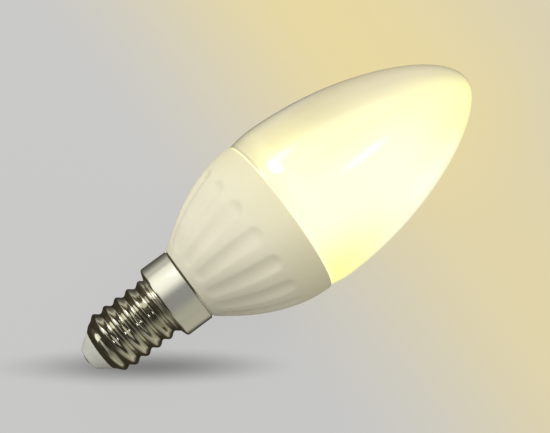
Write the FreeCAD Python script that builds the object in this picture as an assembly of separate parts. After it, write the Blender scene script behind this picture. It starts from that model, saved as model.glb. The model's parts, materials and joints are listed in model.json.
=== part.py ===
# LED candle bulb: an opal candle diffuser on a scalloped ceramic housing, with a small screw cap.
# The bulb is drawn along +X, from the centre contact (x = 0) to the tip, and then laid on its
# side as it comes to rest: on a thread crest and on the shoulder of the housing.
# Lengths are in millimetres. Places called ..._x are distances from the contact's end.
import FreeCAD
import Part
import os
from math import atan2, cos, degrees, hypot, pi, sin, tan

Vector = FreeCAD.Vector

# Overall sizes
overall_length = 100.0
bulb_diameter = 37.0

# Screw cap: a thin drawn shell with a rolled thread, a shoulder and a plain skirt
cap_height = 25.5
skirt_diameter = 16.7
skirt_length = 6.2
shoulder_length = 0.8
shoulder_inner_round = 0.8
shoulder_outer_round = 0.6
shell_wall = 0.3
thread_major_diameter = 13.5
thread_minor_diameter = 11.9
thread_pitch = 2.822
first_crest_x = 6.3
shell_end_x = 3.5
shell_end_diameter = 9.4
lead_in_length = 2.2
thread_fade_length = 2.8

# Insulator that closes the cap, and the contact riveted through it
insulator_end_x = 0.4
insulator_end_diameter = 5.0
insulator_end_round = 1.2
insulator_plug_depth = 3.5
contact_head_diameter = 3.6
contact_head_thickness = 0.7
contact_shank_diameter = 1.4
contact_tail_length = 0.6

# Ceramic housing
seam_x = 49.0
rim_diameter = 36.1
rim_round = 0.4
collar_gap = 0.4
collar_diameter = 16.6
collar_round = 0.35
neck_length = 5.5
neck_relief_length = 1.6
neck_relief_depth = 0.35
seat_diameter = 33.2
seat_depth = 3.0

# Scallops round the housing, long dimples with round ends
scallop_count = 16
scallop_start_x = 28.4
scallop_end_x = 40.8
scallop_start_depth = 0.2
scallop_depth = 0.42
scallop_radius = 4.0
scallop_edge_round = 1.2

# Diffuser
diffuser_wall = 1.4
diffuser_foot_diameter = 35.8
diffuser_foot_round = 0.5
diffuser_belly_x = 54.5
diffuser_spigot_wall = 1.3
spigot_floor_gap = 0.3

# Clearance between a piece and the bore that holds it
seat_clearance = 0.1

# Shape of the candle outline: how far its curve runs on along the axis from the belly, and out
# square to the axis from the tip, before it turns
belly_pull = 23.4
tip_pull = 8.0

# How finely the thread is drawn: points in a turn, and rows in a pitch
thread_points_per_turn = 24
thread_rows_per_pitch = 12
seam_tolerance = 1e-4

bulb_radius = bulb_diameter / 2
skirt_radius = skirt_diameter / 2
crest_radius = thread_major_diameter / 2
root_radius = thread_minor_diameter / 2
shell_end_radius = shell_end_diameter / 2
skirt_start_x = cap_height - skirt_length
shoulder_x = skirt_start_x - shoulder_length
lead_in_end_x = shell_end_x + lead_in_length
collar_x = cap_height + collar_gap
collar_radius = collar_diameter / 2
rim_radius = rim_diameter / 2
seat_radius = seat_diameter / 2
seat_floor_x = seam_x - seat_depth
neck_radius = skirt_radius - shell_wall - seat_clearance
neck_end_x = cap_height - neck_length
neck_relief_x = collar_x - neck_relief_length
contact_head_radius = contact_head_diameter / 2
contact_shank_radius = contact_shank_diameter / 2
plug_end_x = shell_end_x + insulator_plug_depth


def line(start, end):
    """Straight edge between two (x, r) points of a section."""
    return Part.LineSegment(Vector(start[0], start[1], 0), Vector(end[0], end[1], 0)).toShape()


def rounded_path(points, rounds):
    """Edges through (x, r) points, with a tangent arc of the given radius at each inner point."""
    edges = []
    start = points[0]
    for before, corner, after, radius in zip(points, points[1:], points[2:], rounds):
        if radius <= 0:
            edges.append(line(start, corner))
            start = corner
            continue
        back = unit(corner, before)
        ahead = unit(corner, after)
        half_angle = atan2(hypot(back[0] - ahead[0], back[1] - ahead[1]),
                           hypot(back[0] + ahead[0], back[1] + ahead[1]))
        reach = radius / tan(half_angle)
        middle = unit((0, 0), (back[0] + ahead[0], back[1] + ahead[1]))
        depth = radius / sin(half_angle) - radius
        arc_start = (corner[0] + back[0] * reach, corner[1] + back[1] * reach)
        arc_end = (corner[0] + ahead[0] * reach, corner[1] + ahead[1] * reach)
        arc_middle = (corner[0] + middle[0] * depth, corner[1] + middle[1] * depth)
        edges.append(line(start, arc_start))
        edges.append(Part.Arc(*[Vector(x, r, 0) for x, r in (arc_start, arc_middle, arc_end)]).toShape())
        start = arc_end
    edges.append(line(start, points[-1]))
    return edges


def bezier(*poles):
    """Edge of a Bezier curve through (x, r) poles."""
    curve = Part.BezierCurve()
    curve.setPoles([Vector(x, r, 0) for x, r in poles])
    return curve.toShape()


def unit(start, end):
    """Direction of unit length from one (x, r) point to another."""
    length = hypot(end[0] - start[0], end[1] - start[1])
    return ((end[0] - start[0]) / length, (end[1] - start[1]) / length)


def inset(points, distance):
    """Points of the path that lies a wall's distance under an outline that runs towards +X."""
    moved = []
    for start, end in zip(points, points[1:]):
        along = unit(start, end)
        shift = (along[1] * distance, -along[0] * distance)
        moved.append(((start[0] + shift[0], start[1] + shift[1]), along))
    inner = [moved[0][0]]
    for (start, along), (other, other_along) in zip(moved, moved[1:]):
        cross = along[0] * other_along[1] - along[1] * other_along[0]
        step = ((other[0] - start[0]) * other_along[1] - (other[1] - start[1]) * other_along[0]) / cross
        inner.append((start[0] + along[0] * step, start[1] + along[1] * step))
    last, along = moved[-1]
    length = hypot(points[-1][0] - points[-2][0], points[-1][1] - points[-2][1])
    inner.append((last[0] + along[0] * length, last[1] + along[1] * length))
    return inner


def revolved(edges):
    """Solid made by turning a closed section about the bulb's axis."""
    return Part.Face(Part.Wire(edges)).revolve(Vector(0, 0, 0), Vector(1, 0, 0), 360)


def closed_on_axis(edges, first, last):
    """Section edges joined down to the axis at both ends."""
    return edges + [line(last, (last[0], 0)), line((last[0], 0), (first[0], 0)), line((first[0], 0), first)]


# Cap shell

def shell_outline():
    """Corners of the shell's outside without its thread: end ring, lead-in, root, shoulder, skirt."""
    return [
        (shell_end_x, shell_end_radius),
        (lead_in_end_x, root_radius),
        (shoulder_x, root_radius),
        (skirt_start_x, skirt_radius),
        (cap_height, skirt_radius),
    ]


def thread_radius(x, angle):
    """Outside radius of the rolled thread: a right-hand wave that fades in behind the end ring."""
    lead = min(1.0, (x - shell_end_x) / lead_in_length)
    base = shell_end_radius + (root_radius - shell_end_radius) * sin(lead * pi / 2)
    fade = min(1.0, (x - shell_end_x) / thread_fade_length)
    turns = (x - first_crest_x) / thread_pitch - angle / (2 * pi)
    wave = 0.5 + 0.5 * cos(2 * pi * turns)
    return base + (crest_radius - root_radius) * fade * fade * (3 - 2 * fade) * wave


def threaded_barrel():
    """Solid barrel with the thread on its outside, from the end ring to inside the shoulder."""
    length = shoulder_x + shoulder_length / 2 - shell_end_x
    rows = round(length / thread_pitch * thread_rows_per_pitch)
    grid = []
    for row in range(rows + 1):
        x = shell_end_x + length * row / rows
        ring = []
        for point in range(thread_points_per_turn + 1):
            angle = 2 * pi * (point % thread_points_per_turn) / thread_points_per_turn
            radius = thread_radius(x, angle)
            ring.append(Vector(x, radius * cos(angle), radius * sin(angle)))
        grid.append(ring)
    surface = Part.BSplineSurface()
    surface.interpolate(grid)
    skin = surface.toShape()
    ends = [Part.Face(Part.Wire([edge])) for edge in skin.Edges if edge.isClosed()]
    barrel = Part.makeCompound([skin] + ends)
    barrel.sewShape(seam_tolerance)
    return Part.Solid(barrel.Shells[0])


def make_cap_shell():
    """Drawn shell: the barrel and the skirt joined, hollowed to one wall thickness at the root."""
    outline = shell_outline()
    buried = (shoulder_x - shoulder_inner_round, root_radius - shell_wall / 2)
    skirt_path = [buried, (shoulder_x, root_radius - shell_wall / 2)] + outline[3:]
    skirt = revolved(closed_on_axis(rounded_path(skirt_path, [shoulder_inner_round, shoulder_outer_round]),
                                    skirt_path[0], skirt_path[-1]))
    inside = inset(outline, shell_wall)
    rounds = [0, shoulder_inner_round + shell_wall, shoulder_outer_round - shell_wall]
    run_out = shell_wall
    inside[0] = (shell_end_x - run_out, inside[0][1])
    inside[-1] = (cap_height + run_out, inside[-1][1])
    void = revolved(closed_on_axis(rounded_path(inside, rounds), inside[0], inside[-1]))
    return threaded_barrel().fuse(skirt).cut(void)


# Insulator and contact

def make_insulator():
    """Moulded plug: its dome stands out of the shell and its core fills the lead-in."""
    inside = inset(shell_outline(), shell_wall + seat_clearance)
    path = [
        (insulator_end_x, 0),
        (insulator_end_x, insulator_end_diameter / 2),
        (shell_end_x, shell_end_radius),
        (shell_end_x, inside[0][1]),
        inside[1],
        (plug_end_x, inside[1][1]),
        (plug_end_x, 0),
    ]
    edges = rounded_path(path, [insulator_end_round, 0, 0, 0, 0])
    plug = revolved(edges + [line(path[-1], path[0])])
    return plug.cut(make_contact())


def make_contact():
    """Rivet with a low crowned head, set in the insulator's end, and a shank through it."""
    tail_x = plug_end_x + contact_tail_length
    crown = Part.Arc(Vector(insulator_end_x, -contact_head_radius, 0), Vector(0, 0, 0),
                     Vector(insulator_end_x, contact_head_radius, 0)).toShape().Curve
    half_crown = Part.Arc(Vector(0, 0, 0), arc_point(crown, insulator_end_x / 2),
                          Vector(insulator_end_x, contact_head_radius, 0)).toShape()
    path = [
        (insulator_end_x, contact_head_radius),
        (contact_head_thickness, contact_head_radius),
        (contact_head_thickness, contact_shank_radius),
        (tail_x, contact_shank_radius),
        (tail_x, 0),
        (0, 0),
    ]
    return revolved([half_crown] + rounded_path(path, [0, 0, 0, 0]))


def arc_point(circle, x):
    """Point of a circle centred on the axis, at distance x, on the side of positive radius."""
    reach = circle.Center.x - x
    return Vector(x, (circle.Radius ** 2 - reach ** 2) ** 0.5, 0)


# Ceramic housing

def housing_curve():
    """Outside of the housing from its collar to its rim: a parabola that ends along the axis."""
    bend_x = (collar_x + seam_x) / 2
    return bezier((collar_x, collar_radius), (bend_x, rim_radius), (seam_x, rim_radius))


def housing_radius(x):
    """Radius of the housing's outside at a distance along the axis."""
    rest = (seam_x - x) / (seam_x - collar_x)
    return rim_radius - (rim_radius - collar_radius) * rest ** 2


def housing_body():
    """Housing before its scallops: neck, relief, belled outside, rim and diffuser seat."""
    neck_path = [
        (seat_floor_x, 0),
        (neck_end_x, 0),
        (neck_end_x, neck_radius),
        (neck_relief_x, neck_radius),
        (neck_relief_x, neck_radius - neck_relief_depth),
        (collar_x, neck_radius - neck_relief_depth),
        (collar_x, collar_radius),
    ]
    seat_path = [
        (seam_x, rim_radius),
        (seam_x, seat_radius),
        (seat_floor_x, seat_radius),
        (seat_floor_x, 0),
    ]
    edges = rounded_path(neck_path, [0] * 5) + [housing_curve()] + rounded_path(seat_path, [0] * 2)
    body = revolved(edges)
    collar_edge = ring_edge(body, collar_x, collar_radius)
    rim_edge = ring_edge(body, seam_x, rim_radius)
    return body.makeFillet(collar_round, [collar_edge]).makeFillet(rim_round, [rim_edge])


def ring_edge(solid, x, radius):
    """Edge of a turned solid that is the full circle at a given distance and radius."""
    for edge in solid.Edges:
        box = edge.BoundBox
        if abs(box.Center.x - x) < seam_tolerance and abs(box.YMax - radius) < seam_tolerance:
            if box.XLength < seam_tolerance:
                return edge
    raise ValueError("no ring at x = %.2f, r = %.2f" % (x, radius))


def scallop_cutter():
    """Bent finger that presses one scallop: a torus segment that follows the outline, round-ended."""
    step = (scallop_end_x - scallop_start_x) / 2
    centres = []
    for x, depth in ((scallop_start_x, scallop_start_depth),
                     (scallop_start_x + step, scallop_depth),
                     (scallop_end_x, scallop_depth)):
        slope = 2 * (rim_radius - collar_radius) * (seam_x - x) / (seam_x - collar_x) ** 2
        outward = Vector(-slope, 1, 0).normalize()
        centres.append(Vector(x, housing_radius(x), 0) + outward * (scallop_radius - depth))
    spine = Part.Arc(*centres).toShape()
    centre = spine.Curve.Center
    section = Part.Circle(centres[0], (centre - centres[0]).cross(Vector(0, 0, 1)), scallop_radius)
    sweep = degrees(spine.LastParameter - spine.FirstParameter)
    finger = Part.Face(Part.Wire([section.toShape()])).revolve(centre, spine.Curve.Axis, sweep)
    ends = [Part.makeSphere(scallop_radius, centres[0]), Part.makeSphere(scallop_radius, centres[2])]
    return finger.fuse(ends).removeSplitter()


def make_housing():
    """Housing with its scallops pressed in and their edges softened."""
    body = housing_body()
    cutter = scallop_cutter()
    cutters = []
    for index in range(scallop_count):
        copy = cutter.copy()
        copy.rotate(Vector(0, 0, 0), Vector(1, 0, 0), 90 + 360.0 * index / scallop_count)
        cutters.append(copy)
    housing = body.cut(cutters)
    edges = [edge for edge in housing.Edges if is_scallop_rim(housing, edge)]
    return housing.makeFillet(scallop_edge_round, edges)


def is_scallop_rim(solid, edge):
    """True for an edge where a scallop meets the housing's outside."""
    hollow = ("Part::GeomToroid", "Part::GeomSphere")
    sides = [face.Surface.TypeId in hollow for face in solid.ancestorsOfType(edge, Part.Face)
             if scallop_start_x - scallop_radius < edge.BoundBox.Center.x < scallop_end_x + scallop_radius]
    return any(sides) and not all(sides)


# Diffuser

def candle_edges(start, wall):
    """Candle outline a wall's distance inside the bulb's, from its foot over the belly to the tip."""
    belly_radius = bulb_radius - wall
    tip_x = overall_length - wall
    belly = (diffuser_belly_x, belly_radius)
    swell = bezier(start, ((start[0] + diffuser_belly_x) / 2, belly_radius), belly)
    crown = bezier(
        belly,
        (diffuser_belly_x + belly_pull * (tip_x - diffuser_belly_x) / (overall_length - diffuser_belly_x),
         belly_radius),
        (tip_x, tip_pull * belly_radius / bulb_radius),
        (tip_x, 0),
    )
    return [swell, crown]


def make_diffuser():
    """Opal shell of one wall thickness, with a spigot that drops into the housing's seat."""
    foot_radius = diffuser_foot_diameter / 2
    spigot_radius = seat_radius - seat_clearance
    spigot_inner = spigot_radius - diffuser_spigot_wall
    spigot_x = seat_floor_x + spigot_floor_gap
    inner_start = (seam_x + diffuser_wall, foot_radius - diffuser_wall)
    foot_start = (seam_x, foot_radius - diffuser_foot_round)
    foot_end = (seam_x + diffuser_foot_round, foot_radius)
    path = [
        inner_start,
        (seam_x, spigot_inner),
        (spigot_x, spigot_inner),
        (spigot_x, spigot_radius),
        (seam_x, spigot_radius),
        foot_start,
    ]
    half = diffuser_foot_round * (1 - cos(pi / 4))
    foot = Part.Arc(Vector(foot_start[0], foot_start[1], 0),
                    Vector(seam_x + half, foot_radius - half, 0),
                    Vector(foot_end[0], foot_end[1], 0)).toShape()
    apex = line((overall_length, 0), (overall_length - diffuser_wall, 0))
    outside = candle_edges(foot_end, 0)
    inside = candle_edges(inner_start, diffuser_wall)
    return revolved(rounded_path(path, [0] * 4) + [foot] + outside + [apex] + inside[::-1])


# Rest on the side

def rest_tilt():
    """Angle of the axis to the floor when a thread crest and the housing both touch it."""
    crest_x = first_crest_x + 0.75 * thread_pitch
    samples = 400
    steepest = 0.0
    for sample in range(samples + 1):
        x = collar_x + (seam_x - collar_x) * sample / samples
        steepest = max(steepest, atan2(housing_radius(x) - crest_radius, x - crest_x))
    return degrees(steepest)


def resting_placement(pieces):
    """Placement that lays the bulb on its side, its box's bottom centre at the origin."""
    tilt = FreeCAD.Rotation(Vector(0, -1, 0), rest_tilt())
    whole = Part.makeCompound(list(pieces.values()))
    whole.Placement = FreeCAD.Placement(Vector(0, 0, 0), tilt)
    box = whole.optimalBoundingBox(False)
    return FreeCAD.Placement(Vector(-box.Center.x, -box.Center.y, -box.ZMin), tilt)


def main():
    """Build every piece, lay the bulb down and write one file for each piece."""
    pieces = {
        "diffuser": make_diffuser(),
        "ceramic_housing": make_housing(),
        "cap_shell": make_cap_shell(),
        "cap_insulator": make_insulator(),
        "centre_contact": make_contact(),
    }
    placement = resting_placement(pieces)
    os.makedirs("parts", exist_ok=True)
    for name, shape in pieces.items():
        shape.Placement = placement
        shape.exportStep("parts/%s.step" % name)
        print("%-16s %d solid, valid %s, %.1f mm3" % (name, len(shape.Solids), shape.isValid(), shape.Volume))
    print("rest tilt %.2f degrees" % rest_tilt())


main()
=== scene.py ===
"""Looks of a lit candle bulb that lies on a pale floor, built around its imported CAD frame.

Sizes are in millimetres and places along the bulb are distances from the end of its centre
contact, as in the part's source. Meshes are written in metres, in the row's frame.
"""

import json
import logging
import math
from dataclasses import dataclass
from enum import Enum

import bmesh
import bpy
import numpy as np
from mathutils import Matrix, Vector


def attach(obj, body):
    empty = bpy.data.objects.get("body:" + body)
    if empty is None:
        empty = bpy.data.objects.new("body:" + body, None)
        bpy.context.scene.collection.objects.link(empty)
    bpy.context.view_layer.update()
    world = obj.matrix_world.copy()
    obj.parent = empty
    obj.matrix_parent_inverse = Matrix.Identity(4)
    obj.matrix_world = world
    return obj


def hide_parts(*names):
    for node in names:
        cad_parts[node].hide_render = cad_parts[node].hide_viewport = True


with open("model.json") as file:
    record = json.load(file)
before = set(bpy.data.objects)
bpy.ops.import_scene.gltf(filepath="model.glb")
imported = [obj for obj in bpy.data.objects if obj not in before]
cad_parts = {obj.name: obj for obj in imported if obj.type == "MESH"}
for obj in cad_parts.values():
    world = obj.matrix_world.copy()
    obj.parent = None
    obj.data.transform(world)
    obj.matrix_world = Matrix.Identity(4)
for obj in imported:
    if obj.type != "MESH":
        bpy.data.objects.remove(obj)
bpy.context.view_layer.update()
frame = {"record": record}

logging.basicConfig(level=logging.INFO, format="%(message)s")
log = logging.getLogger("candle_bulb")

METRES = 0.001
BODY = "root"
NEARLY = 0.999  # share of a round that ends just short of the next point

Point = tuple[float, float]
Span = tuple[float, float]
Way = tuple[float, float, float]
Colour = tuple[float, float, float]


class Slot(Enum):
    """The record's material slots."""

    OPAL = "opal_diffuser"
    CERAMIC = "white_ceramic"
    NICKEL = "nickel_plate"
    INSULATOR = "cap_insulator"
    CONTACT = "contact_metal"


class Node(Enum):
    """The CAD nodes that the pieces stand for."""

    DIFFUSER = "diffuser"
    HOUSING = "ceramic_housing"
    SHELL = "cap_shell"
    INSULATOR = "cap_insulator"
    CONTACT = "centre_contact"


# Where the bulb lies


@dataclass(frozen=True)
class BulbAxis:
    """The bulb's own frame, laid in the row's frame: along its axis, to its side, and out of it."""

    origin: Vector
    along: Vector
    side: Vector
    out: Vector

    @classmethod
    def from_record(cls, record: dict, mount: str = "skirt", mount_x: float = 22.55) -> "BulbAxis":
        """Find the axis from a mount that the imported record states.

        Args:
            record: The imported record.
            mount: Name of a mount on the axis, whose direction is towards the cap's end.
            mount_x: How far the mount's place is from the contact's end.

        Returns:
            The bulb's frame, with its origin at the contact's end.
        """
        place = next(entry for entry in record["mounts"] if entry["name"] == mount)
        along = -Vector(place["axis"]).normalized()
        side = Vector((0.0, 1.0, 0.0))
        return cls(Vector(place["pos_m"]) - along * mount_x * METRES, along, side, along.cross(side))

    def place(self, x: float, side: float, out: float) -> Vector:
        """Point of the row's frame, in metres, for distances along the axis, to the side and out."""
        return self.origin + (self.along * x + self.side * side + self.out * out) * METRES

    def way(self, along: float, side: float, out: float) -> Vector:
        """Direction of unit length in the row's frame, from its parts along the axis, to the side and out."""
        return (self.along * along + self.side * side + self.out * out).normalized()

    def place_all(self, points: np.ndarray) -> np.ndarray:
        """Points of the row's frame, in metres, for an array of (x, side, out) rows."""
        turn = np.array([self.along, self.side, self.out])
        return points @ turn * METRES + np.array(self.origin)


def put(name: str, data: bpy.types.ID) -> bpy.types.Object:
    """Object of the given data, put in the scene."""
    made = bpy.data.objects.new(name, data)
    bpy.context.scene.collection.objects.link(made)
    return made


def standing(place: Vector, right: Vector, up: Vector, back: Vector) -> Matrix:
    """Matrix of a lamp or camera that stands at a place, turned by its three directions."""
    return Matrix.Translation(place) @ Matrix((right, up, back)).transposed().to_4x4()


# Sections and turned forms


def unit(start: Point, end: Point) -> Point:
    """Direction of unit length from one point of a section to another."""
    length = math.hypot(end[0] - start[0], end[1] - start[1])
    return ((end[0] - start[0]) / length, (end[1] - start[1]) / length)


def straight(start: Point, end: Point, step: float) -> list[Point]:
    """Points along a straight run of a section, its end left out."""
    count = max(1, math.ceil(math.hypot(end[0] - start[0], end[1] - start[1]) / step))
    return [(start[0] + (end[0] - start[0]) * i / count, start[1] + (end[1] - start[1]) * i / count)
            for i in range(count)]


def rounded(corners: list[Point], rounds: list[float], step: float = 0.5, turn: float = 12.0) -> list[Point]:
    """Points of a path through corners, with an arc at each inner corner.

    Args:
        corners: The path's corners as (x, r) points.
        rounds: Radius at each inner corner, where 0 keeps it sharp.
        step: Longest run between two points of a straight part.
        turn: Largest turn between two points of an arc, in degrees.

    Returns:
        The path's points, with both ends.
    """
    points: list[Point] = []
    start = corners[0]
    for before, corner, after, radius in zip(corners, corners[1:], corners[2:], rounds):
        if radius <= 0:
            points += straight(start, corner, step)
            start = corner
            continue
        back, ahead = unit(corner, before), unit(corner, after)
        half = math.atan2(math.hypot(back[0] - ahead[0], back[1] - ahead[1]),
                          math.hypot(back[0] + ahead[0], back[1] + ahead[1]))
        reach = radius / math.tan(half)
        first = (corner[0] + back[0] * reach, corner[1] + back[1] * reach)
        last = (corner[0] + ahead[0] * reach, corner[1] + ahead[1] * reach)
        middle = unit((0.0, 0.0), (back[0] + ahead[0], back[1] + ahead[1]))
        far = radius / math.sin(half)
        centre = (corner[0] + middle[0] * far, corner[1] + middle[1] * far)
        points += straight(start, first, step)
        steps = max(2, math.ceil((180.0 - 2.0 * math.degrees(half)) / turn))
        from_angle = math.atan2(first[1] - centre[1], first[0] - centre[0])
        swing = math.atan2(last[1] - centre[1], last[0] - centre[0]) - from_angle
        swing = (swing + math.pi) % (2 * math.pi) - math.pi
        for i in range(steps):
            angle = from_angle + swing * i / steps
            points.append((centre[0] + radius * math.cos(angle), centre[1] + radius * math.sin(angle)))
        start = last
    points += straight(start, corners[-1], step)
    points.append(corners[-1])
    return points


def bezier(poles: list[Point], count: int) -> list[Point]:
    """Points along a Bezier curve.

    Args:
        poles: The curve's poles as (x, r) points.
        count: Number of runs between the points.

    Returns:
        The curve's points, with both ends.
    """
    points = []
    for i in range(count + 1):
        level = poles
        t = i / count
        while len(level) > 1:
            level = [(a[0] + (b[0] - a[0]) * t, a[1] + (b[1] - a[1]) * t) for a, b in zip(level, level[1:])]
        points.append(level[0])
    return points


def inset(corners: list[Point], wall: float) -> list[Point]:
    """Corners of the path that lies a wall's thickness under an outline.

    Args:
        corners: The outline's corners, in order towards the tip.
        wall: The wall's thickness.

    Returns:
        The inner corners, the last of them straight under the outline's end.
    """
    runs = []
    for start, end in zip(corners, corners[1:]):
        along = unit(start, end)
        runs.append(((start[0] + along[1] * wall, start[1] - along[0] * wall), along))
    inner = [runs[0][0]]
    for (start, along), (other, other_along) in zip(runs, runs[1:]):
        cross = along[0] * other_along[1] - along[1] * other_along[0]
        step = ((other[0] - start[0]) * other_along[1] - (other[1] - start[1]) * other_along[0]) / cross
        inner.append((start[0] + along[0] * step, start[1] + along[1] * step))
    inner.append((corners[-1][0], corners[-1][1] - wall))
    return inner


def soft_max(first: np.ndarray, second: np.ndarray, blend: float) -> np.ndarray:
    """The larger of two arrays, with a smooth change from one to the other about blend wide."""
    gap = first - second
    return (first + second + np.sqrt(gap * gap + blend * blend)) / 2


@dataclass
class TurnedPiece:
    """A piece made by turning a section about the bulb's axis, which a relief may then change."""

    axis: BulbAxis
    node: Node
    slot: Slot
    steps: int = 128
    looped: bool = False
    crease: float = 40.0

    def section(self) -> list[Point]:
        """Points of the piece's section."""
        raise NotImplementedError

    def relief(self, x: np.ndarray, r: np.ndarray, angle: np.ndarray) -> tuple[np.ndarray, np.ndarray]:
        """Change the turned surface, here not at all.

        Args:
            x: Distances along the axis, a row for each ring.
            r: Distances from the axis.
            angle: Angles from the bulb's side towards its front.

        Returns:
            The changed distances along the axis and from it.
        """
        return x, r

    def rings(self) -> tuple[np.ndarray, list[Point]]:
        """The rings of the turned surface and the end points on the axis.

        Returns:
            Ring points as an array of (ring, step, 3), and the section's ends that lie on the axis.
        """
        path = self.section()
        ends = [path[0], path[-1]] if not self.looped else []
        inner = path[:-1] if self.looped else path[1:-1]
        x, angle = np.meshgrid([p[0] for p in inner], np.arange(self.steps) * 2 * math.pi / self.steps,
                               indexing="ij")
        r = np.repeat(np.array([p[1] for p in inner])[:, None], self.steps, axis=1)
        x, r = self.relief(x, r, angle)
        return np.stack([x, r * np.cos(angle), r * np.sin(angle)], axis=-1), ends

    def faces(self, rows: int) -> list[tuple[int, ...]]:
        """Faces between the rings, and the fans that close a surface at its ends.

        Args:
            rows: Number of rings.

        Returns:
            Vertex numbers of each face.
        """
        faces: list[tuple[int, ...]] = []
        for row in range(rows if self.looped else rows - 1):
            here, there = row * self.steps, (row + 1) % rows * self.steps
            for i in range(self.steps):
                j = (i + 1) % self.steps
                faces.append((here + i, here + j, there + j, there + i))
        if not self.looped:
            last = (rows - 1) * self.steps
            for i in range(self.steps):
                j = (i + 1) % self.steps
                faces += [(rows * self.steps, j, i), (rows * self.steps + 1, last + i, last + j)]
        return faces

    def build(self, material: bpy.types.Material) -> bpy.types.Object:
        """Make the piece's mesh and put it in place of its CAD node.

        Args:
            material: The finish that the piece wears.

        Returns:
            The piece.
        """
        rings, ends = self.rings()
        points = rings.reshape(-1, 3)
        if ends:
            points = np.vstack([points, [(x, 0.0, 0.0) for x, _ in ends]])
        mesh = bpy.data.meshes.new(self.node.value + "_form")
        mesh.from_pydata(self.axis.place_all(points).tolist(), [], self.faces(len(rings)))
        shape = bmesh.new()
        shape.from_mesh(mesh)
        bmesh.ops.recalc_face_normals(shape, faces=shape.faces[:])
        shape.to_mesh(mesh)
        shape.free()
        mesh.shade_smooth()
        mesh.set_sharp_from_angle(angle=math.radians(self.crease))
        mesh.materials.append(material)
        piece = put(self.node.value + "_piece", mesh)
        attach(piece, BODY)
        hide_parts(self.node.value)
        log.info("%s: %d points, %d faces", piece.name, len(mesh.vertices), len(mesh.polygons))
        return piece


# Pieces of the bulb


@dataclass
class Diffuser(TurnedPiece):
    """Opal candle shell of one wall thickness, with the spigot that sits in the housing."""

    node: Node = Node.DIFFUSER
    slot: Slot = Slot.OPAL
    steps: int = 144
    length: float = 100.0
    diameter: float = 37.0
    wall: float = 1.4
    foot_x: float = 49.0
    foot_diameter: float = 35.8
    foot_round: float = 0.5
    belly_x: float = 54.5
    belly_pull: float = 23.4
    tip_pull: float = 8.0
    spigot_x: float = 46.3
    spigot_diameter: float = 33.0
    spigot_wall: float = 1.3
    spigot_round: float = 0.2
    root_round: float = 0.1
    swell_runs: int = 12
    crown_runs: int = 72

    def candle(self, start: Point, wall: float) -> list[Point]:
        """Candle outline a wall inside the bulb's, from its foot over the belly to the tip.

        Args:
            start: Where the outline starts at the foot.
            wall: How far inside the bulb's outline it runs.

        Returns:
            The outline's points, the last of them on the axis.
        """
        radius = self.diameter / 2 - wall
        tip = self.length - wall
        belly = (self.belly_x, radius)
        reach = self.belly_pull * (tip - self.belly_x) / (self.length - self.belly_x)
        swell = bezier([start, ((start[0] + self.belly_x) / 2, radius), belly], self.swell_runs)
        crown = bezier([belly, (self.belly_x + reach, radius),
                        (tip, self.tip_pull * radius / (self.diameter / 2)), (tip, 0.0)], self.crown_runs)
        return swell[:-1] + crown

    def section(self) -> list[Point]:
        """The shell's section.

        Returns:
            Its points from the tip over the outside and the spigot to the inside of the tip.
        """
        foot, spigot = self.foot_diameter / 2, self.spigot_diameter / 2
        inner = spigot - self.spigot_wall
        start = (self.foot_x + self.foot_round, foot)
        inner_foot = (self.foot_x + self.wall, foot - self.wall)
        base = rounded([start, (self.foot_x, foot), (self.foot_x, spigot), (self.spigot_x, spigot),
                        (self.spigot_x, inner), (self.foot_x, inner), inner_foot],
                       [self.foot_round * NEARLY, self.root_round, *[self.spigot_round] * 3])
        return self.candle(start, 0.0)[::-1] + base[1:] + self.candle(inner_foot, self.wall)[1:]


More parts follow.
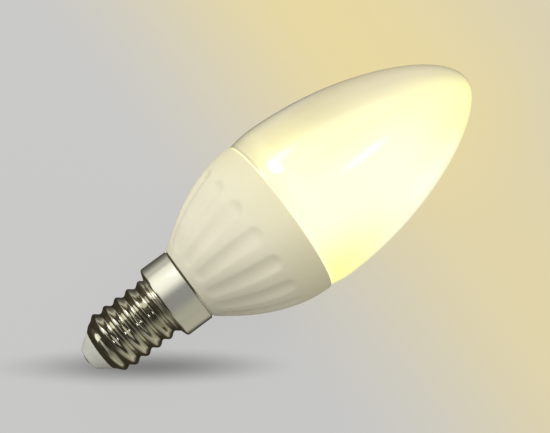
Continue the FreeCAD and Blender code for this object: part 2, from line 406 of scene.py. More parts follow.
@dataclass
class CeramicHousing(TurnedPiece):
    """Belled ceramic housing with a ring of long, soft scallops, and a bead that fills its groove."""

    node: Node = Node.HOUSING
    slot: Slot = Slot.CERAMIC
    steps: int = 16 * 26
    rim_x: float = 49.0
    rim_diameter: float = 36.1
    rim_round: float = 0.4
    collar_x: float = 25.9
    collar_diameter: float = 16.6
    collar_round: float = 0.35
    collar_run: float = 0.3
    bead_x: float = 25.55
    bead_diameter: float = 16.1
    relief_x: float = 24.3
    relief_diameter: float = 15.2
    neck_x: float = 20.0
    neck_diameter: float = 15.9
    neck_rounds: tuple[float, ...] = (0.03, 0.05, 0.1, 0.1, 0.1, 0.3)
    seat_x: float = 46.0
    seat_diameter: float = 33.2
    seat_round: float = 0.3
    lip_round: float = 0.15
    flare_rows: int = 96
    scallops: int = 16
    scallop_start_x: float = 28.4
    scallop_end_x: float = 40.8
    scallop_start_depth: float = 0.2
    scallop_depth: float = 0.42
    scallop_radius: float = 4.0
    scallop_blend: float = 0.12
    scallop_margin: float = 0.6

    def radius(self, x: float) -> float:
        """Radius of the plain outside at a distance along the axis."""
        rest = (self.rim_x - x) / (self.rim_x - self.collar_x)
        return self.rim_diameter / 2 - (self.rim_diameter - self.collar_diameter) / 2 * rest * rest

    def slope(self, x: np.ndarray) -> np.ndarray:
        """How fast the outside widens along the axis."""
        run = self.rim_x - self.collar_x
        return (self.rim_diameter - self.collar_diameter) * (self.rim_x - x) / run ** 2

    def section(self) -> list[Point]:
        """The housing's section.

        Returns:
            Its points from the seat's floor over the rim, the outside and the neck to the axis.
        """
        rim, collar, seat = self.rim_diameter / 2, self.collar_diameter / 2, self.seat_diameter / 2
        bead, relief, neck = self.bead_diameter / 2, self.relief_diameter / 2, self.neck_diameter / 2
        rim_end, rows = self.rim_x - self.rim_round, self.flare_rows
        run = self.collar_x + self.collar_run - rim_end
        top = rounded([(self.seat_x, 0.0), (self.seat_x, seat), (self.rim_x, seat), (self.rim_x, rim),
                       (rim_end, rim)], [self.seat_round, self.lip_round, self.rim_round * NEARLY], step=2.0)
        places = [rim_end + run * i / rows for i in range(1, rows + 1)]
        flare = [(x, self.radius(x)) for x in places]
        foot = rounded([flare[-1], (self.collar_x, collar), (self.collar_x, bead), (self.bead_x, bead),
                        (self.bead_x, relief), (self.relief_x, relief), (self.relief_x, neck),
                        (self.neck_x, neck), (self.neck_x, 0.0)],
                       [self.collar_round, *self.neck_rounds], step=1.5)
        return top + flare[:-1] + foot

    def relief(self, x: np.ndarray, r: np.ndarray, angle: np.ndarray) -> tuple[np.ndarray, np.ndarray]:
        """Press the scallops into the outside, each as a round-ended finger would.

        Args:
            x: Distances along the axis, a row for each ring.
            r: Distances from the axis.
            angle: Angles from the bulb's side towards its front.

        Returns:
            The changed distances along the axis and from it.
        """
        pitch = 2 * math.pi / self.scallops
        across = ((angle + pitch / 2) % pitch - pitch / 2) * r
        slope = self.slope(np.clip(x, self.collar_x, self.rim_x))
        stretch = np.sqrt(1 + slope * slope)
        past = np.maximum(0.0, np.maximum(self.scallop_start_x - x, x - self.scallop_end_x)) * stretch
        share = np.clip((x - self.scallop_start_x) / (self.scallop_end_x - self.scallop_start_x), 0.0, 1.0)
        deeper = (self.scallop_depth - self.scallop_start_depth) * np.sin(share * math.pi / 2)
        cut = self.scallop_start_depth + deeper - (across * across + past * past) / (2 * self.scallop_radius)
        depth = soft_max(cut, np.zeros_like(cut), self.scallop_blend)
        low, high = self.collar_x + self.scallop_margin, self.rim_x - self.scallop_margin
        depth = np.where((x > low) & (x < high) & (r > self.collar_diameter / 2), depth, 0.0)
        return x + depth * slope / stretch, r - depth / stretch


@dataclass
class CapShell(TurnedPiece):
    """Drawn metal shell with a rolled right-hand thread, a shoulder and a plain skirt."""

    node: Node = Node.SHELL
    slot: Slot = Slot.NICKEL
    steps: int = 180
    looped: bool = True
    end_x: float = 3.5
    end_diameter: float = 9.4
    lead_in: float = 2.2
    minor_diameter: float = 11.9
    major_diameter: float = 13.5
    pitch: float = 2.822
    first_crest_x: float = 6.3
    fade: float = 2.8
    shoulder_x: float = 18.5
    skirt_x: float = 19.3
    cap_x: float = 25.5
    skirt_diameter: float = 16.7
    inner_round: float = 0.8
    outer_round: float = 0.6
    wall: float = 0.3
    rim_round: float = 0.06
    merge: float = 1.0
    merge_blend: float = 0.05

    def outline(self) -> list[Point]:
        """Corners of the outside without its thread."""
        root, skirt = self.minor_diameter / 2, self.skirt_diameter / 2
        return [(self.end_x, self.end_diameter / 2), (self.end_x + self.lead_in, root),
                (self.shoulder_x, root), (self.skirt_x, skirt), (self.cap_x, skirt)]

    def inside(self) -> list[Point]:
        """Points of the inside, from the skirt's rim to the cap's end."""
        rounds = [self.outer_round - self.wall, self.inner_round + self.wall, 0.0]
        return rounded(inset(self.outline(), self.wall)[::-1], rounds, step=0.8)

    def section(self) -> list[Point]:
        """The shell's closed section.

        Returns:
            Its points along the outside to the skirt's rim, and back inside.
        """
        corners, inside = self.outline(), self.inside()
        merge_x, skirt = self.shoulder_x - self.merge, self.skirt_diameter / 2
        barrel = [point for point in rounded(corners[:3], [0.0], step=0.09) if point[0] < merge_x]
        shoulder = rounded([(merge_x, corners[2][1]), *corners[2:]], [self.inner_round, self.outer_round],
                           step=0.3, turn=6.0)
        rim = [(self.cap_x - self.rim_round, skirt), (self.cap_x, skirt - self.rim_round),
               (self.cap_x, inside[0][1] + self.rim_round)]
        return barrel + shoulder[:-1] + rim + inside[1:] + [barrel[0]]

    def thread(self, x: np.ndarray, angle: np.ndarray) -> np.ndarray:
        """Radius of the rolled thread.

        Args:
            x: Distances along the axis.
            angle: Angles from the bulb's side towards its front.

        Returns:
            Distance of the thread's outside from the axis.
        """
        root, end = self.minor_diameter / 2, self.end_diameter / 2
        lead = np.clip((x - self.end_x) / self.lead_in, 0.0, 1.0)
        fade = np.clip((x - self.end_x) / self.fade, 0.0, 1.0)
        wave = 0.5 + 0.5 * np.cos(2 * math.pi * (x - self.first_crest_x) / self.pitch - angle)
        return (end + (root - end) * np.sin(lead * math.pi / 2)
                + (self.major_diameter / 2 - root) * fade * fade * (3 - 2 * fade) * wave)

    def relief(self, x: np.ndarray, r: np.ndarray, angle: np.ndarray) -> tuple[np.ndarray, np.ndarray]:
        """Raise the thread on the barrel's outside, up to where it runs into the shoulder.

        Args:
            x: Distances along the axis, a row for each ring.
            r: Distances from the axis.
            angle: Angles from the bulb's side towards its front.

        Returns:
            The changed distances along the axis and from it.
        """
        outside_rows = x.shape[0] - (len(self.inside()) - 1)
        outside = (np.arange(x.shape[0])[:, None] < outside_rows) & (x < self.skirt_x)
        thread = self.thread(x, angle)
        merged = soft_max(thread, r, self.merge_blend) - self.merge_blend / 2
        raised = np.where(x < self.shoulder_x - self.merge, thread, merged)
        return x, np.where(outside, raised, r)


@dataclass
class CapInsulator(TurnedPiece):
    """Moulded plug that closes the shell, with the recess and hole of the contact."""

    node: Node = Node.INSULATOR
    slot: Slot = Slot.INSULATOR
    steps: int = 96
    looped: bool = True
    end_x: float = 0.4
    end_diameter: float = 5.0
    end_round: float = 1.2
    shell_x: float = 3.5
    shell_diameter: float = 9.4
    lead_in: float = 2.2
    root_diameter: float = 11.9
    shoulder_x: float = 18.5
    clearance: float = 0.4
    plug_x: float = 7.0
    edge_round: float = 0.1
    tail_round: float = 0.2
    head_diameter: float = 3.6
    head_x: float = 0.7
    shank_diameter: float = 1.4

    def section(self) -> list[Point]:
        """The plug's closed section.

        Returns:
            Its points from the contact's recess over the dome to the plug's end, and back along the hole.
        """
        root, shell = self.root_diameter / 2, self.shell_diameter / 2
        head, shank = self.head_diameter / 2, self.shank_diameter / 2
        mouth, barrel, _ = inset([(self.shell_x, shell), (self.shell_x + self.lead_in, root),
                                  (self.shoulder_x, root)], self.clearance)
        return rounded([(self.end_x, head), (self.end_x, self.end_diameter / 2), (self.shell_x, shell),
                        (self.shell_x, mouth[1]), barrel, (self.plug_x, barrel[1]), (self.plug_x, shank),
                        (self.head_x, shank), (self.head_x, head), (self.end_x, head)],
                       [self.end_round, self.edge_round, 0.0, self.edge_round, self.tail_round,
                        0.0, 0.0, 0.0], step=0.6)


@dataclass
class CentreContact(TurnedPiece):
    """Rivet with a crowned head, set in the insulator's end."""

    node: Node = Node.CONTACT
    slot: Slot = Slot.CONTACT
    steps: int = 64
    head_diameter: float = 3.6
    crown: float = 0.4
    head_x: float = 0.7
    shank_diameter: float = 1.4
    tail_x: float = 7.6
    tail_round: float = 0.15
    crown_rows: int = 12

    def section(self) -> list[Point]:
        """The rivet's section.

        Returns:
            Its points from the crown over the head and the shank to the tail.
        """
        half, shank = self.head_diameter / 2, self.shank_diameter / 2
        radius = (half * half + self.crown * self.crown) / (2 * self.crown)
        rings = [half * i / self.crown_rows for i in range(self.crown_rows)]
        dome = [(radius - math.sqrt(radius * radius - r ** 2), r) for r in rings]
        rest = rounded([(self.crown, half), (self.head_x, half), (self.head_x, shank), (self.tail_x, shank),
                        (self.tail_x, 0.0)], [0.0, 0.0, self.tail_round], step=0.8)
        return dome + rest


# Shader maths


class Wire:
    """A socket of a material that can be used in Python arithmetic."""

    def __init__(self, board: "Board", socket: bpy.types.NodeSocket) -> None:
        """Keep the socket and the board that new nodes go on."""
        self.board = board
        self.socket = socket

    @property
    def plain(self) -> bool:
        """True for a number, and False for a colour or a vector."""
        return self.socket.type == "VALUE"

    def __add__(self, other: "Value") -> "Wire":
        """Sum of two values."""
        return self.board.combine("ADD", self, other)

    __radd__ = __add__

    def __mul__(self, other: "Value") -> "Wire":
        """Product of two values."""
        return self.board.combine("MULTIPLY", self, other)

    __rmul__ = __mul__

    def __sub__(self, other: "Value") -> "Wire":
        """This value less another."""
        return self.board.combine("SUBTRACT", self, other)

    def __rsub__(self, other: "Value") -> "Wire":
        """Another value less this one."""
        return self.board.combine("SUBTRACT", other, self)

    def __abs__(self) -> "Wire":
        """Size of this value without its sign."""
        return self.board.add("Math", {"operation": "ABSOLUTE"}, {0: self})

    def between(self, low: float, high: float) -> "Wire":
        """A smooth step from 0 where the value is low to 1 where it is high."""
        return self.board.add("MapRange", {"interpolation_type": "SMOOTHSTEP"},
                              {"Value": self, "From Min": low, "From Max": high})

    def dot(self, direction: Vector) -> "Wire":
        """Length of this vector along a direction."""
        return self.board.add("VectorMath", {"operation": "DOT_PRODUCT"},
                              {0: self, 1: tuple(direction)}, "Value")


Value = Wire | float | Colour


class Board:
    """The node tree of a material or of the world, and the ways to add nodes to it."""

    def __init__(self, tree: bpy.types.NodeTree) -> None:
        """Start on an empty tree."""
        self.tree = tree
        self.tree.nodes.clear()

    def add(self, kind: str, settings: dict, values: dict, output: str | int = 0) -> Wire:
        """Add a node.

        Args:
            kind: The node's type, less the ShaderNode that it starts with.
            settings: Its own settings, which are set first.
            values: What its sockets hold or are linked to, by name or number.
            output: The output that is handed back, by name or number.

        Returns:
            The chosen output, or the first input of a node that has no output.
        """
        node = self.tree.nodes.new("ShaderNode" + kind)
        for name, value in settings.items():
            setattr(node, name, value)
        for name, value in values.items():
            self.feed(node.inputs[name], value)
        return Wire(self, node.outputs[output] if len(node.outputs) else node.inputs[0])

    def feed(self, socket: bpy.types.NodeSocket, value: Value) -> None:
        """Link or set a socket.

        Args:
            socket: The socket to feed.
            value: A wire, a number or a colour.
        """
        if isinstance(value, Wire):
            self.tree.links.new(value.socket, socket)
        elif socket.type == "RGBA" and len(value) == 3:
            socket.default_value = (*value, 1.0)
        else:
            socket.default_value = value

    def combine(self, operation: str, first: Value, second: Value) -> Wire:
        """Join two values with an operation, as numbers or, where one has three parts, as vectors.

        Args:
            operation: Name of the operation.
            first: The first value.
            second: The second value.

        Returns:
            The result.
        """
        pair = (first, second)
        if all(value.plain if isinstance(value, Wire) else isinstance(value, (int, float)) for value in pair):
            return self.add("Math", {"operation": operation}, dict(enumerate(pair)))
        pair = tuple((value,) * 3 if isinstance(value, (int, float)) else value for value in pair)
        return self.add("VectorMath", {"operation": operation}, dict(enumerate(pair)))

    def blend(self, share: Value, first: Value, second: Value) -> Wire:
        """Mix two colours, with share 0 for the first and 1 for the second."""
        return self.add("Mix", {"data_type": "RGBA"}, {0: share, 6: first, 7: second}, 2)

    def grain(self, place: Wire, scale: float, detail: float = 3.0, rough: float = 0.5) -> Wire:
        """Noise from 0 to 1 over a place in metres.

        Args:
            place: The place that the noise is read at.
            scale: How fine it is, in spots to the metre.
            detail: How many finer layers it has.
            rough: How strong the finer layers are.

        Returns:
            The noise.
        """
        return self.add("TexNoise", {},
                        {"Vector": place, "Scale": scale, "Detail": detail, "Roughness": rough}, "Fac")

    def bump(self, height: Wire, strength: float, distance: float) -> Wire:
        """Normal of a surface with a height from 0 to 1, which stands for a distance in metres."""
        return self.add("Bump", {}, {"Strength": strength, "Distance": distance, "Height": height})


@dataclass(frozen=True)
class Finish:
    """A surface that is worked out from the bulb's own coordinates."""

    axis: BulbAxis
    name: str = "finish"

    def surface(self, board: Board) -> dict:
        """What the shader's sockets hold, by name."""
        raise NotImplementedError

    def place(self, board: Board) -> Wire:
        """The place on the object, in the row's frame."""
        return board.add("TexCoord", {}, {}, "Object")

    def along(self, board: Board) -> Wire:
        """Distance along the bulb's axis from the contact's end, in millimetres."""
        return (self.place(board) - tuple(self.axis.origin)).dot(self.axis.along) * (1 / METRES)

    def radius(self, board: Board) -> Wire:
        """Distance from the bulb's axis, in millimetres."""
        away = board.add("VectorMath", {"operation": "CROSS_PRODUCT"},
                         {0: self.place(board) - tuple(self.axis.origin), 1: tuple(self.axis.along)})
        return board.add("VectorMath", {"operation": "LENGTH"}, {0: away}, "Value") * (1 / METRES)

    def facing(self, board: Board, along: float, side: float, out: float) -> Wire:
        """How far the surface faces a direction of the bulb's frame, from -1 to 1."""
        normal = board.add("TexCoord", {}, {}, "Normal")
        return normal.dot(self.axis.way(along, side, out))

    def stretched(self, board: Board, factor: float) -> Wire:
        """The place, with its distance along the axis times a factor so that grain runs round the bulb."""
        push = self.place(board).dot(self.axis.along) * (factor - 1.0)
        return self.place(board) + board.add("VectorMath", {"operation": "SCALE"},
                                             {0: tuple(self.axis.along), "Scale": push})

    def material(self) -> bpy.types.Material:
        """Make the material.

        Returns:
            The material, with one shader.
        """
        made = bpy.data.materials.new(self.name)
        made.use_nodes = True
        board = Board(made.node_tree)
        shader = board.add("BsdfPrincipled", {}, self.surface(board))
        board.add("OutputMaterial", {}, {"Surface": shader})
        return made


@dataclass(frozen=True)
class LitOpal(Finish):
    """Glossy opal that glows from inside, with painted shade that dims the glow where it faces the bulb's
    side and its tip, and a painted tint by facing.
    """

    name: str = "lit_opal"
    unlit: Colour = (0.0, 0.0, 0.0)
    amber: Colour = (0.95, 0.92, 0.0)
    pale: Colour = (0.95, 0.92, 0.70)
    body: Colour = (0.56, 0.512, 0.35)
    body_tip: Colour = (0.60, 0.55, 0.41)
    body_run: Span = (62.0, 84.0)
    painted_shade_way: Way = (0.777, 0.627, 0.055)
    painted_shade_turn: Span = (0.08, 0.75)
    seam_run: Span = (49.2, 49.8)
    foot_run: Span = (49.0, 54.5)
    belly_start: Span = (57.0, 68.0)
    belly_end: Span = (78.0, 90.0)
    middle_x: float = 62.0
    corner_turn: Span = (0.25, 0.95)
    corner_run: Span = (50.0, 70.0)
    edge_turn: Span = (0.5, 0.8)
    edge_start: Span = (68.0, 76.0)
    edge_end: Span = (86.0, 92.0)
    tip_run: Span = (68.0, 92.0)

    def surface(self, board: Board) -> dict:
        """Work out the finish.

        Args:
            board: The material's nodes.

        Returns:
            What the shader's sockets hold, by name.
        """
        along = self.along(board)
        side = self.facing(board, 0.0, 1.0, 0.0)
        away = 0.0 - side
        drift = board.grain(self.place(board), 60.0, 1.0)
        # Painted shade: the glow dims by how the surface faces in the bulb's frame, and more near the seam,
        # the foot and past the belly.
        seam = 1.0 - along.between(*self.seam_run)
        foot = (1.0 - along.between(*self.foot_run)) * 0.15 + seam * 0.15
        belly = along.between(*self.belly_start) * (1.0 - along.between(*self.belly_end)) * 0.055
        dim = self.facing(board, *self.painted_shade_way) + (drift - 0.5) * 0.06 - (along - self.middle_x) * 0.0055
        glow = 1.0 - (dim + foot + belly).between(*self.painted_shade_turn)
        # Painted light: the glow's tint follows facing and place, paler away from the bulb's side and at the
        # seam, more amber in that side's corner near the foot and towards the tip.
        corner = away.between(*self.corner_turn) * (1.0 - along.between(*self.corner_run))
        edge = away.between(*self.edge_turn) * along.between(*self.edge_start)
        cooler = seam * 0.10 + edge * (1.0 - along.between(*self.edge_end)) * 0.18
        tip = along.between(*self.tip_run) * glow
        blue = (0.45 - side * 0.21 - corner * 0.42 - tip * 0.24 + cooler) * 1.43
        return {
            "Base Color": board.blend(along.between(*self.body_run), self.body, self.body_tip),
            "Roughness": 0.16 + board.grain(self.place(board), 900.0) * 0.05,
            "IOR": 1.45,
            "Coat Weight": 1.0,
            "Coat Roughness": 0.14,
            "Coat IOR": 1.5,
            "Emission Color": board.blend(glow, self.unlit, board.blend(blue, self.amber, self.pale)),
            "Emission Strength": 1.0,
        }


@dataclass(frozen=True)
class MattCeramic(Finish):
    """Warm white fired ceramic with a faint mottle and a very fine grain, lightened by painted light towards
    the rim, darkened by painted shade where it faces the bulb's side, and with painted shade in its groove.
    """

    name: str = "matt_ceramic"
    fired: tuple[Colour, Colour] = ((0.70, 0.665, 0.52), (0.73, 0.70, 0.55))
    painted_flare_light: Colour = (0.82, 0.785, 0.60)
    flare_run: Span = (27.0, 42.0)
    rim: tuple[Colour, Colour] = ((0.86, 0.795, 0.53), (0.74, 0.69, 0.46))
    rim_light_turn: Span = (-0.7, 0.9)
    rim_light_run: Span = (39.0, 49.0)
    shade: Colour = (0.03, 0.02, 0.0)
    shade_turn: Span = (-0.15, 0.5)
    shade_run: Span = (31.0, 40.0)
    groove_shade: tuple[Colour, Colour] = ((0.075, 0.066, 0.036), (0.80, 0.75, 0.58))
    groove_shade_turn: Span = (0.15, 0.5)
    groove_shade_end: Span = (25.86, 25.98)

    def surface(self, board: Board) -> dict:
        """Work out the finish.

        Args:
            board: The material's nodes.

        Returns:
            What the shader's sockets hold, by name.
        """
        place, along = self.place(board), self.along(board)
        side = self.facing(board, 0.0, 1.0, 0.0)
        mottle = board.grain(place, 140.0, 4.0, 0.6)
        colour = board.blend(mottle.between(0.3, 0.7), *self.fired)
        # Painted light: brighter along the flare towards the rim, where the lit diffuser lights it.
        colour = board.blend(along.between(*self.flare_run), colour, self.painted_flare_light)
        # Painted light near the rim: warmer and brighter where it faces away from the bulb's side, darker
        # where it faces that side.
        rim = board.blend(side.between(*self.rim_light_turn), *self.rim)
        colour = board.blend(along.between(*self.rim_light_run) * 0.8, colour, rim)
        # Painted shade where the flare faces the bulb's side, from its middle to the rim.
        shaded = side.between(*self.shade_turn) * along.between(*self.shade_run) * 0.135
        colour = board.blend(shaded, colour, self.shade)
        # Painted shade in the groove: dark, and paler where the surface faces away from the bulb's side.
        groove_shade = board.blend((0.0 - side).between(*self.groove_shade_turn), *self.groove_shade)
        height = board.grain(place, 2600.0, 3.0, 0.6) * 0.6 + board.grain(place, 500.0, 2.0) * 0.4
        return {
            "Base Color": board.blend(along.between(*self.groove_shade_end), groove_shade, colour),
            "Roughness": 0.42 + mottle * 0.14,
            "Specular IOR Level": 0.4,
            "Normal": board.bump(height, 0.10, 0.0002),
        }


@dataclass(frozen=True)
class NickelPlate(Finish):
    """Nickel plate: bright on the rolled thread, satin on the skirt, with painted shade in the thread's roots
    and a painted dark reflection on its crests.
    """

    name: str = "nickel_plate"
    clean: Colour = (0.84, 0.82, 0.72)
    stained: Colour = (0.74, 0.71, 0.60)
    painted_thread_shade: Colour = (0.17, 0.15, 0.10)
    satin: Colour = (0.80, 0.785, 0.72)
    shoulder: Span = (18.7, 19.6)
    first_turn: Span = (4.8, 5.6)
    root: Span = (6.0, 6.2)
    crest: Span = (6.6, 6.72)
    painted_shade_share: float = 0.4

    def surface(self, board: Board) -> dict:
        """Work out the finish.

        Args:
            board: The material's nodes.

        Returns:
            What the shader's sockets hold, by name.
        """
        along, radius = self.along(board), self.radius(board)
        skirt = along.between(*self.shoulder)
        drawn = board.grain(self.stretched(board, 14.0), 420.0, 3.0, 0.6)
        stain = board.grain(self.place(board), 260.0, 3.0, 0.6)
        bright = board.blend(stain.between(0.35, 0.75), self.clean, self.stained)
        # Painted shade in the thread's roots and a painted dark reflection along its crests.
        roots = (1.0 - radius.between(*self.root)) * along.between(*self.first_turn) * self.painted_shade_share
        rolled = board.blend(roots + radius.between(*self.crest) * self.painted_shade_share, bright, self.painted_thread_shade)
        return {
            "Base Color": board.blend(skirt, rolled, self.satin),
            "Metallic": 1.0,
            "Roughness": (0.07 + stain * 0.08) * (1.0 - skirt) + (0.13 + drawn * 0.08) * skirt,
            "Normal": board.bump(drawn, 0.08, 0.0001),
        }


@dataclass(frozen=True)
class MouldedInsulator(Finish):
    """Off-white moulded insulator, a little glossy."""

    name: str = "moulded_insulator"
    clean: Colour = (0.60, 0.60, 0.535)
    clouded: Colour = (0.54, 0.54, 0.48)

    def surface(self, board: Board) -> dict:
        """What the shader's sockets hold, by name."""
        cloud = board.grain(self.place(board), 350.0, 3.0)
        return {"Base Color": board.blend(cloud.between(0.35, 0.7), self.clean, self.clouded),
                "Roughness": 0.28 + cloud * 0.12}


@dataclass(frozen=True)
class TinnedContact(Finish):
    """Plain tinned metal with fine turning marks."""

    name: str = "tinned_contact"
    clean: Colour = (0.72, 0.70, 0.66)
    rubbed: Colour = (0.60, 0.57, 0.52)

    def surface(self, board: Board) -> dict:
        """What the shader's sockets hold, by name."""
        wear = board.grain(self.place(board), 1500.0, 4.0, 0.65)
        return {
            "Base Color": board.blend(wear.between(0.35, 0.7), self.clean, self.rubbed),
            "Metallic": 1.0,
            "Roughness": 0.26 + wear * 0.16,
            "Normal": board.bump(wear, 0.15, 0.0001),
        }


# Studio


@dataclass(frozen=True)
class Floor:
    """Plain pale floor with a painted shadow under the cap and painted warm light round the lit end; metal
    sees a painted reflection of shade and glow.
    """

    axis: BulbAxis
    size: float = 3.0
    sunk: float = 0.00002
    pale: Colour = (0.578, 0.578, 0.571)
    painted_warm_light: Colour = (0.80, 0.685, 0.365)
    painted_reflection: Colour = (0.040, 0.034, 0.022)
    far: Colour = (0.60, 0.59, 0.53)
    glow: Colour = (0.42, 0.37, 0.22)
    near: Colour = (0.12, 0.105, 0.075)
    bright: Colour = (0.485, 0.468, 0.387)
    shown: float = 0.90
    shade_place: Way = (-0.0377, -0.0089, 0.0)
    shade_way: Way = (0.797, -0.605, 0.0)
    shade_length: float = 0.0360
    shade_width: float = 0.0045
    shade_depth: float = 0.60
    warm_start: Span = (-0.0155, 0.053)
    warm_end: Span = (0.056, 0.129)
    cool_edge: Span = (0.0, 0.035)
    beside_edge: Span = (-0.034, -0.028)
    far_edge: Span = (0.004, 0.062)
    bright_edge: Span = (-0.028, -0.024)
    front_edge: Span = (0.013, 0.030)
    glow_edge: Span = (0.030, 0.060)

    def build(self) -> bpy.types.Object:
        """Make the floor, which stays outside the bulb's body.

        Returns:
            The floor.
        """
        half = self.size / 2
        mesh = bpy.data.meshes.new("floor_form")
        mesh.from_pydata([(-half, -half, 0.0), (half, -half, 0.0), (half, half, 0.0), (-half, half, 0.0)], [],
                         [(0, 1, 2, 3)])
        mesh.materials.append(self.finish())
        floor = put("floor", mesh)
        floor.location.z = -self.sunk
        return floor

    def shadow(self, board: Board, place: Wire) -> Wire:
        """A long soft patch of shade on the floor under the cap.

        Args:
            board: The floor's nodes.
            place: The place on the floor.

        Returns:
            1 in the middle of the patch, and 0 outside it.
        """
        way, off = Vector(self.shade_way), place - self.shade_place
        long = off.dot(way) * (1.0 / self.shade_length)
        wide = off.dot(Vector((-way.y, way.x, 0.0))) * (1.0 / self.shade_width)
        reach = board.add("Math", {"operation": "SQRT"}, {0: long * long + wide * wide})
        return 1.0 - reach.between(0.0, 1.0)

    def finish(self) -> bpy.types.Material:
        """Make the floor's material.

        Returns:
            A pale matt surface to the camera, with its painted shadow and warm light, and to reflections a
            painted reflection: dark shade near the bulb, a pale far side and a warm glow near the lit end.
        """
        made = bpy.data.materials.new("pale_floor")
        made.use_nodes = True
        board = Board(made.node_tree)
        place = board.add("TexCoord", {}, {}, "Object")
        length, across = place.dot(Vector((1.0, 0.0, 0.0))), place.dot(self.axis.side)
        # Painted light: a warm glow on the floor round the lit end of the bulb, fading on one side.
        painted_warmth = length.between(*self.warm_start) * (1.0 - length.between(*self.warm_end) * 0.45)
        cooler = (0.0 - across).between(*self.cool_edge) * 0.2
        colour = board.blend(painted_warmth * (1.0 - cooler), self.pale, self.painted_warm_light)
        # Painted shadow under the cap.
        colour = board.blend(self.shadow(board, place) * self.shade_depth, colour, (0.0, 0.0, 0.0))
        # Painted reflection for glossy rays: dark where the bulb's shade lies, paler further off, with a
        # painted warm glow near the lit end.
        beside = (length + across * 0.1).between(*self.beside_edge)
        far = board.blend(beside, self.near, self.far)
        far = board.blend(across.between(*self.far_edge), self.painted_reflection, far)
        near = (length - across * 0.2).between(*self.bright_edge)
        near = board.blend(near, self.near, self.bright)
        painted_reflection = board.blend((0.0 - across).between(*self.front_edge), far, near)
        painted_reflection = board.blend(length.between(*self.glow_edge), painted_reflection, self.glow)
        camera = board.add("LightPath", {}, {}, "Is Camera Ray")
        glossy = board.add("LightPath", {}, {}, "Is Glossy Ray")
        matt = board.add("BsdfDiffuse", {}, {"Color": colour})
        even = board.add("Emission", {}, {"Color": colour, "Strength": 1.0})
        seen = board.add("Emission", {}, {"Color": painted_reflection, "Strength": 1.0})
        front = board.add("MixShader", {}, {0: camera * self.shown, 1: matt, 2: even})
        both = board.add("MixShader", {}, {0: glossy, 1: front, 2: seen})
        board.add("OutputMaterial", {}, {"Surface": both})
        return made


@dataclass(frozen=True)
class Dome:
    """The room's light, strong and soft from one side, and what metal sees of the room."""

    axis: BulbAxis
    bright: float = 1.35
    dim: float = 0.16
    key: Way = (0.24, 0.78, 0.58)
    key_turn: Span = (-0.35, 0.85)
    light: Colour = (1.0, 0.99, 0.965)
    room: Colour = (0.578, 0.578, 0.571)
    card: Colour = (1.10, 1.10, 0.96)
    front: Colour = (0.32, 0.325, 0.315)
    low: Colour = (0.455, 0.455, 0.365)
    shade: Colour = (0.095, 0.085, 0.060)
    dark: Colour = (0.032, 0.028, 0.020)
    card_turn: Span = (0.03, 0.60)
    low_turn: Span = (0.35, 1.10)
    wide_start: Span = (0.60, 0.85)
    wide_end: Span = (1.10, 1.30)
    narrow_start: Span = (1.2, 1.6)
    gap_edge: Span = (0.10, 0.24)
    low_edge: Span = (-0.05, 0.20)
    end_edge: Span = (0.70, 0.85)

    def reflected(self, board: Board, way: Wire) -> Wire:
        """What a reflection shows of the room.

        Args:
            board: The world's nodes.
            way: The direction of the reflection.

        Returns:
            The colour: a white card on the bulb's side, grey across from it, and dark at both ends.
        """
        turn = board.add("Math", {"operation": "ARCTAN2"},
                         {0: way.dot(self.axis.side), 1: way.dot(self.axis.out)})
        along = way.dot(self.axis.along)
        card = turn.between(*self.card_turn)
        low = (0.0 - turn).between(*self.low_turn)
        room = board.blend(card, board.blend(low, self.front, self.low), self.card)
        wide = turn.between(*self.wide_start) * (1.0 - turn.between(*self.wide_end)) * 0.90
        wide = wide - turn.between(*self.narrow_start) * 0.10
        gap = (abs(along) - wide).between(*self.gap_edge) * (1.0 - low * along.between(*self.low_edge))
        shade = board.blend(card, board.blend(low * 0.95, self.dark, self.low), self.shade)
        return board.blend(abs(along).between(*self.end_edge), board.blend(gap, room, shade), self.dark)

    def build(self) -> bpy.types.World:
        """Make the world.

        Returns:
            The world, set as the scene's.
        """
        world = bpy.data.worlds.new("studio")
        world.use_nodes = True
        board = Board(world.node_tree)
        way = board.add("TexCoord", {}, {}, "Generated")
        level = way.dot(self.axis.way(*self.key)).between(*self.key_turn)
        level = level * (self.bright - self.dim) + self.dim
        lit = board.add("Background", {}, {"Color": self.light, "Strength": level})
        seen = board.add("Background", {}, {"Color": self.room, "Strength": 1.0})
        shown = board.add("Background", {}, {"Color": self.reflected(board, way), "Strength": 1.0})
        glossy = board.add("LightPath", {}, {}, "Is Glossy Ray")
        camera = board.add("LightPath", {}, {}, "Is Camera Ray")
        room = board.add("MixShader", {}, {0: glossy, 1: lit, 2: shown})
        both = board.add("MixShader", {}, {0: camera, 1: room, 2: seen})
        board.add("OutputWorld", {}, {"Surface": both})
        bpy.context.scene.world = world
        return world


@dataclass(frozen=True)
class Lamp:
    """A soft panel that shows as a highlight in the glossy pieces."""

    axis: BulbAxis
    name: str
    aim: Way
    way: Way
    width: float
    height: float
    glow: float
    distance: float = 0.12

    def build(self) -> bpy.types.Object:
        """Hang the lamp so that it looks at its place on the bulb, its height across the bulb's axis.

        Returns:
            The lamp.
        """
        data = bpy.data.lights.new(self.name, "AREA")
        data.shape = "ELLIPSE"
        data.size, data.size_y = self.width, self.height
        data.energy = self.glow * math.pi * self.width * self.height
        lamp = put(self.name, data)
        back = self.axis.way(*self.way)
        up = back.cross(self.axis.along).normalized()
        place = self.axis.place(*self.aim) + back * self.distance
        lamp.matrix_world = standing(place, up.cross(back), up, back)
        lamp.visible_camera = False
        return lamp


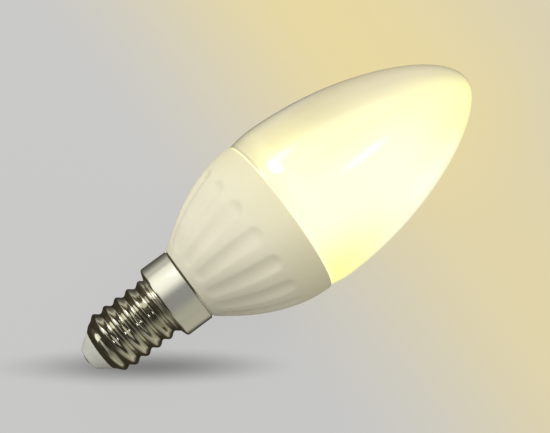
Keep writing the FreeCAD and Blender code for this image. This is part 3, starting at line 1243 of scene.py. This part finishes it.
@dataclass(frozen=True)
class Camera:
    """The photograph's camera, placed from the bulb's own frame."""

    axis: BulbAxis
    lens: float = 52.36
    sensor: float = 36.0
    over_x: float = 27.6
    over_side: float = 0.15
    distance: float = 167.1
    lean: float = 7.11
    sway: float = 0.18
    roll: float = 36.57

    def build(self) -> bpy.types.Object:
        """Make the camera and set it as the scene's.

        Returns:
            The camera.
        """
        data = bpy.data.cameras.new("camera")
        data.lens = self.lens
        data.sensor_width = self.sensor
        data.sensor_fit = "HORIZONTAL"
        data.clip_start, data.clip_end = 0.01, 20.0
        lean, sway = math.radians(self.lean), math.radians(self.sway)
        ahead = self.axis.way(math.sin(lean) * math.cos(sway), math.sin(sway),
                              -math.cos(lean) * math.cos(sway))
        level = self.axis.way(math.cos(lean), 0.0, math.sin(lean))
        across = level.cross(ahead)
        turn = math.radians(self.roll)
        right = level * math.cos(turn) - across * math.sin(turn)
        up = level * math.sin(turn) + across * math.cos(turn)
        camera = put("camera", data)
        place = self.axis.place(self.over_x, self.over_side, self.distance)
        camera.matrix_world = standing(place, right, up, -ahead)
        bpy.context.scene.camera = camera
        return camera


@dataclass(frozen=True)
class Studio:
    """Floor, light and camera."""

    axis: BulbAxis

    def build(self) -> None:
        """Build the studio and log each thing in it."""
        lamps = [
            Lamp(self.axis, "side_lamp", aim=(52.2, 8.4, 16.3), way=(-0.035, 0.837, 0.546),
                 width=0.024, height=0.050, glow=6.0),
            Lamp(self.axis, "tail_lamp", aim=(53.8, 9.3, 16.0), way=(0.151, 0.883, 0.432),
                 width=0.030, height=0.024, glow=3.0),
            Lamp(self.axis, "strip_lamp", aim=(67.5, -0.1, 17.5), way=(0.541, -0.012, 0.841),
                 width=0.052, height=0.021, glow=3.0),
        ]
        for thing in (Floor(self.axis), Dome(self.axis), *lamps, Camera(self.axis)):
            log.info("%s built", thing.build().name)
        bpy.context.scene.view_settings.view_transform = "Standard"


def main() -> None:
    """Build the bulb's pieces and the studio round them."""
    axis = BulbAxis.from_record(frame["record"])
    dressed: list[tuple[TurnedPiece, Finish]] = [
        (Diffuser(axis), LitOpal(axis)),
        (CeramicHousing(axis), MattCeramic(axis)),
        (CapShell(axis), NickelPlate(axis)),
        (CapInsulator(axis), MouldedInsulator(axis)),
        (CentreContact(axis), TinnedContact(axis)),
    ]
    for piece, finish in dressed:
        piece.build(finish.material())
    Studio(axis).build()


if __name__ == "__main__":
    main()
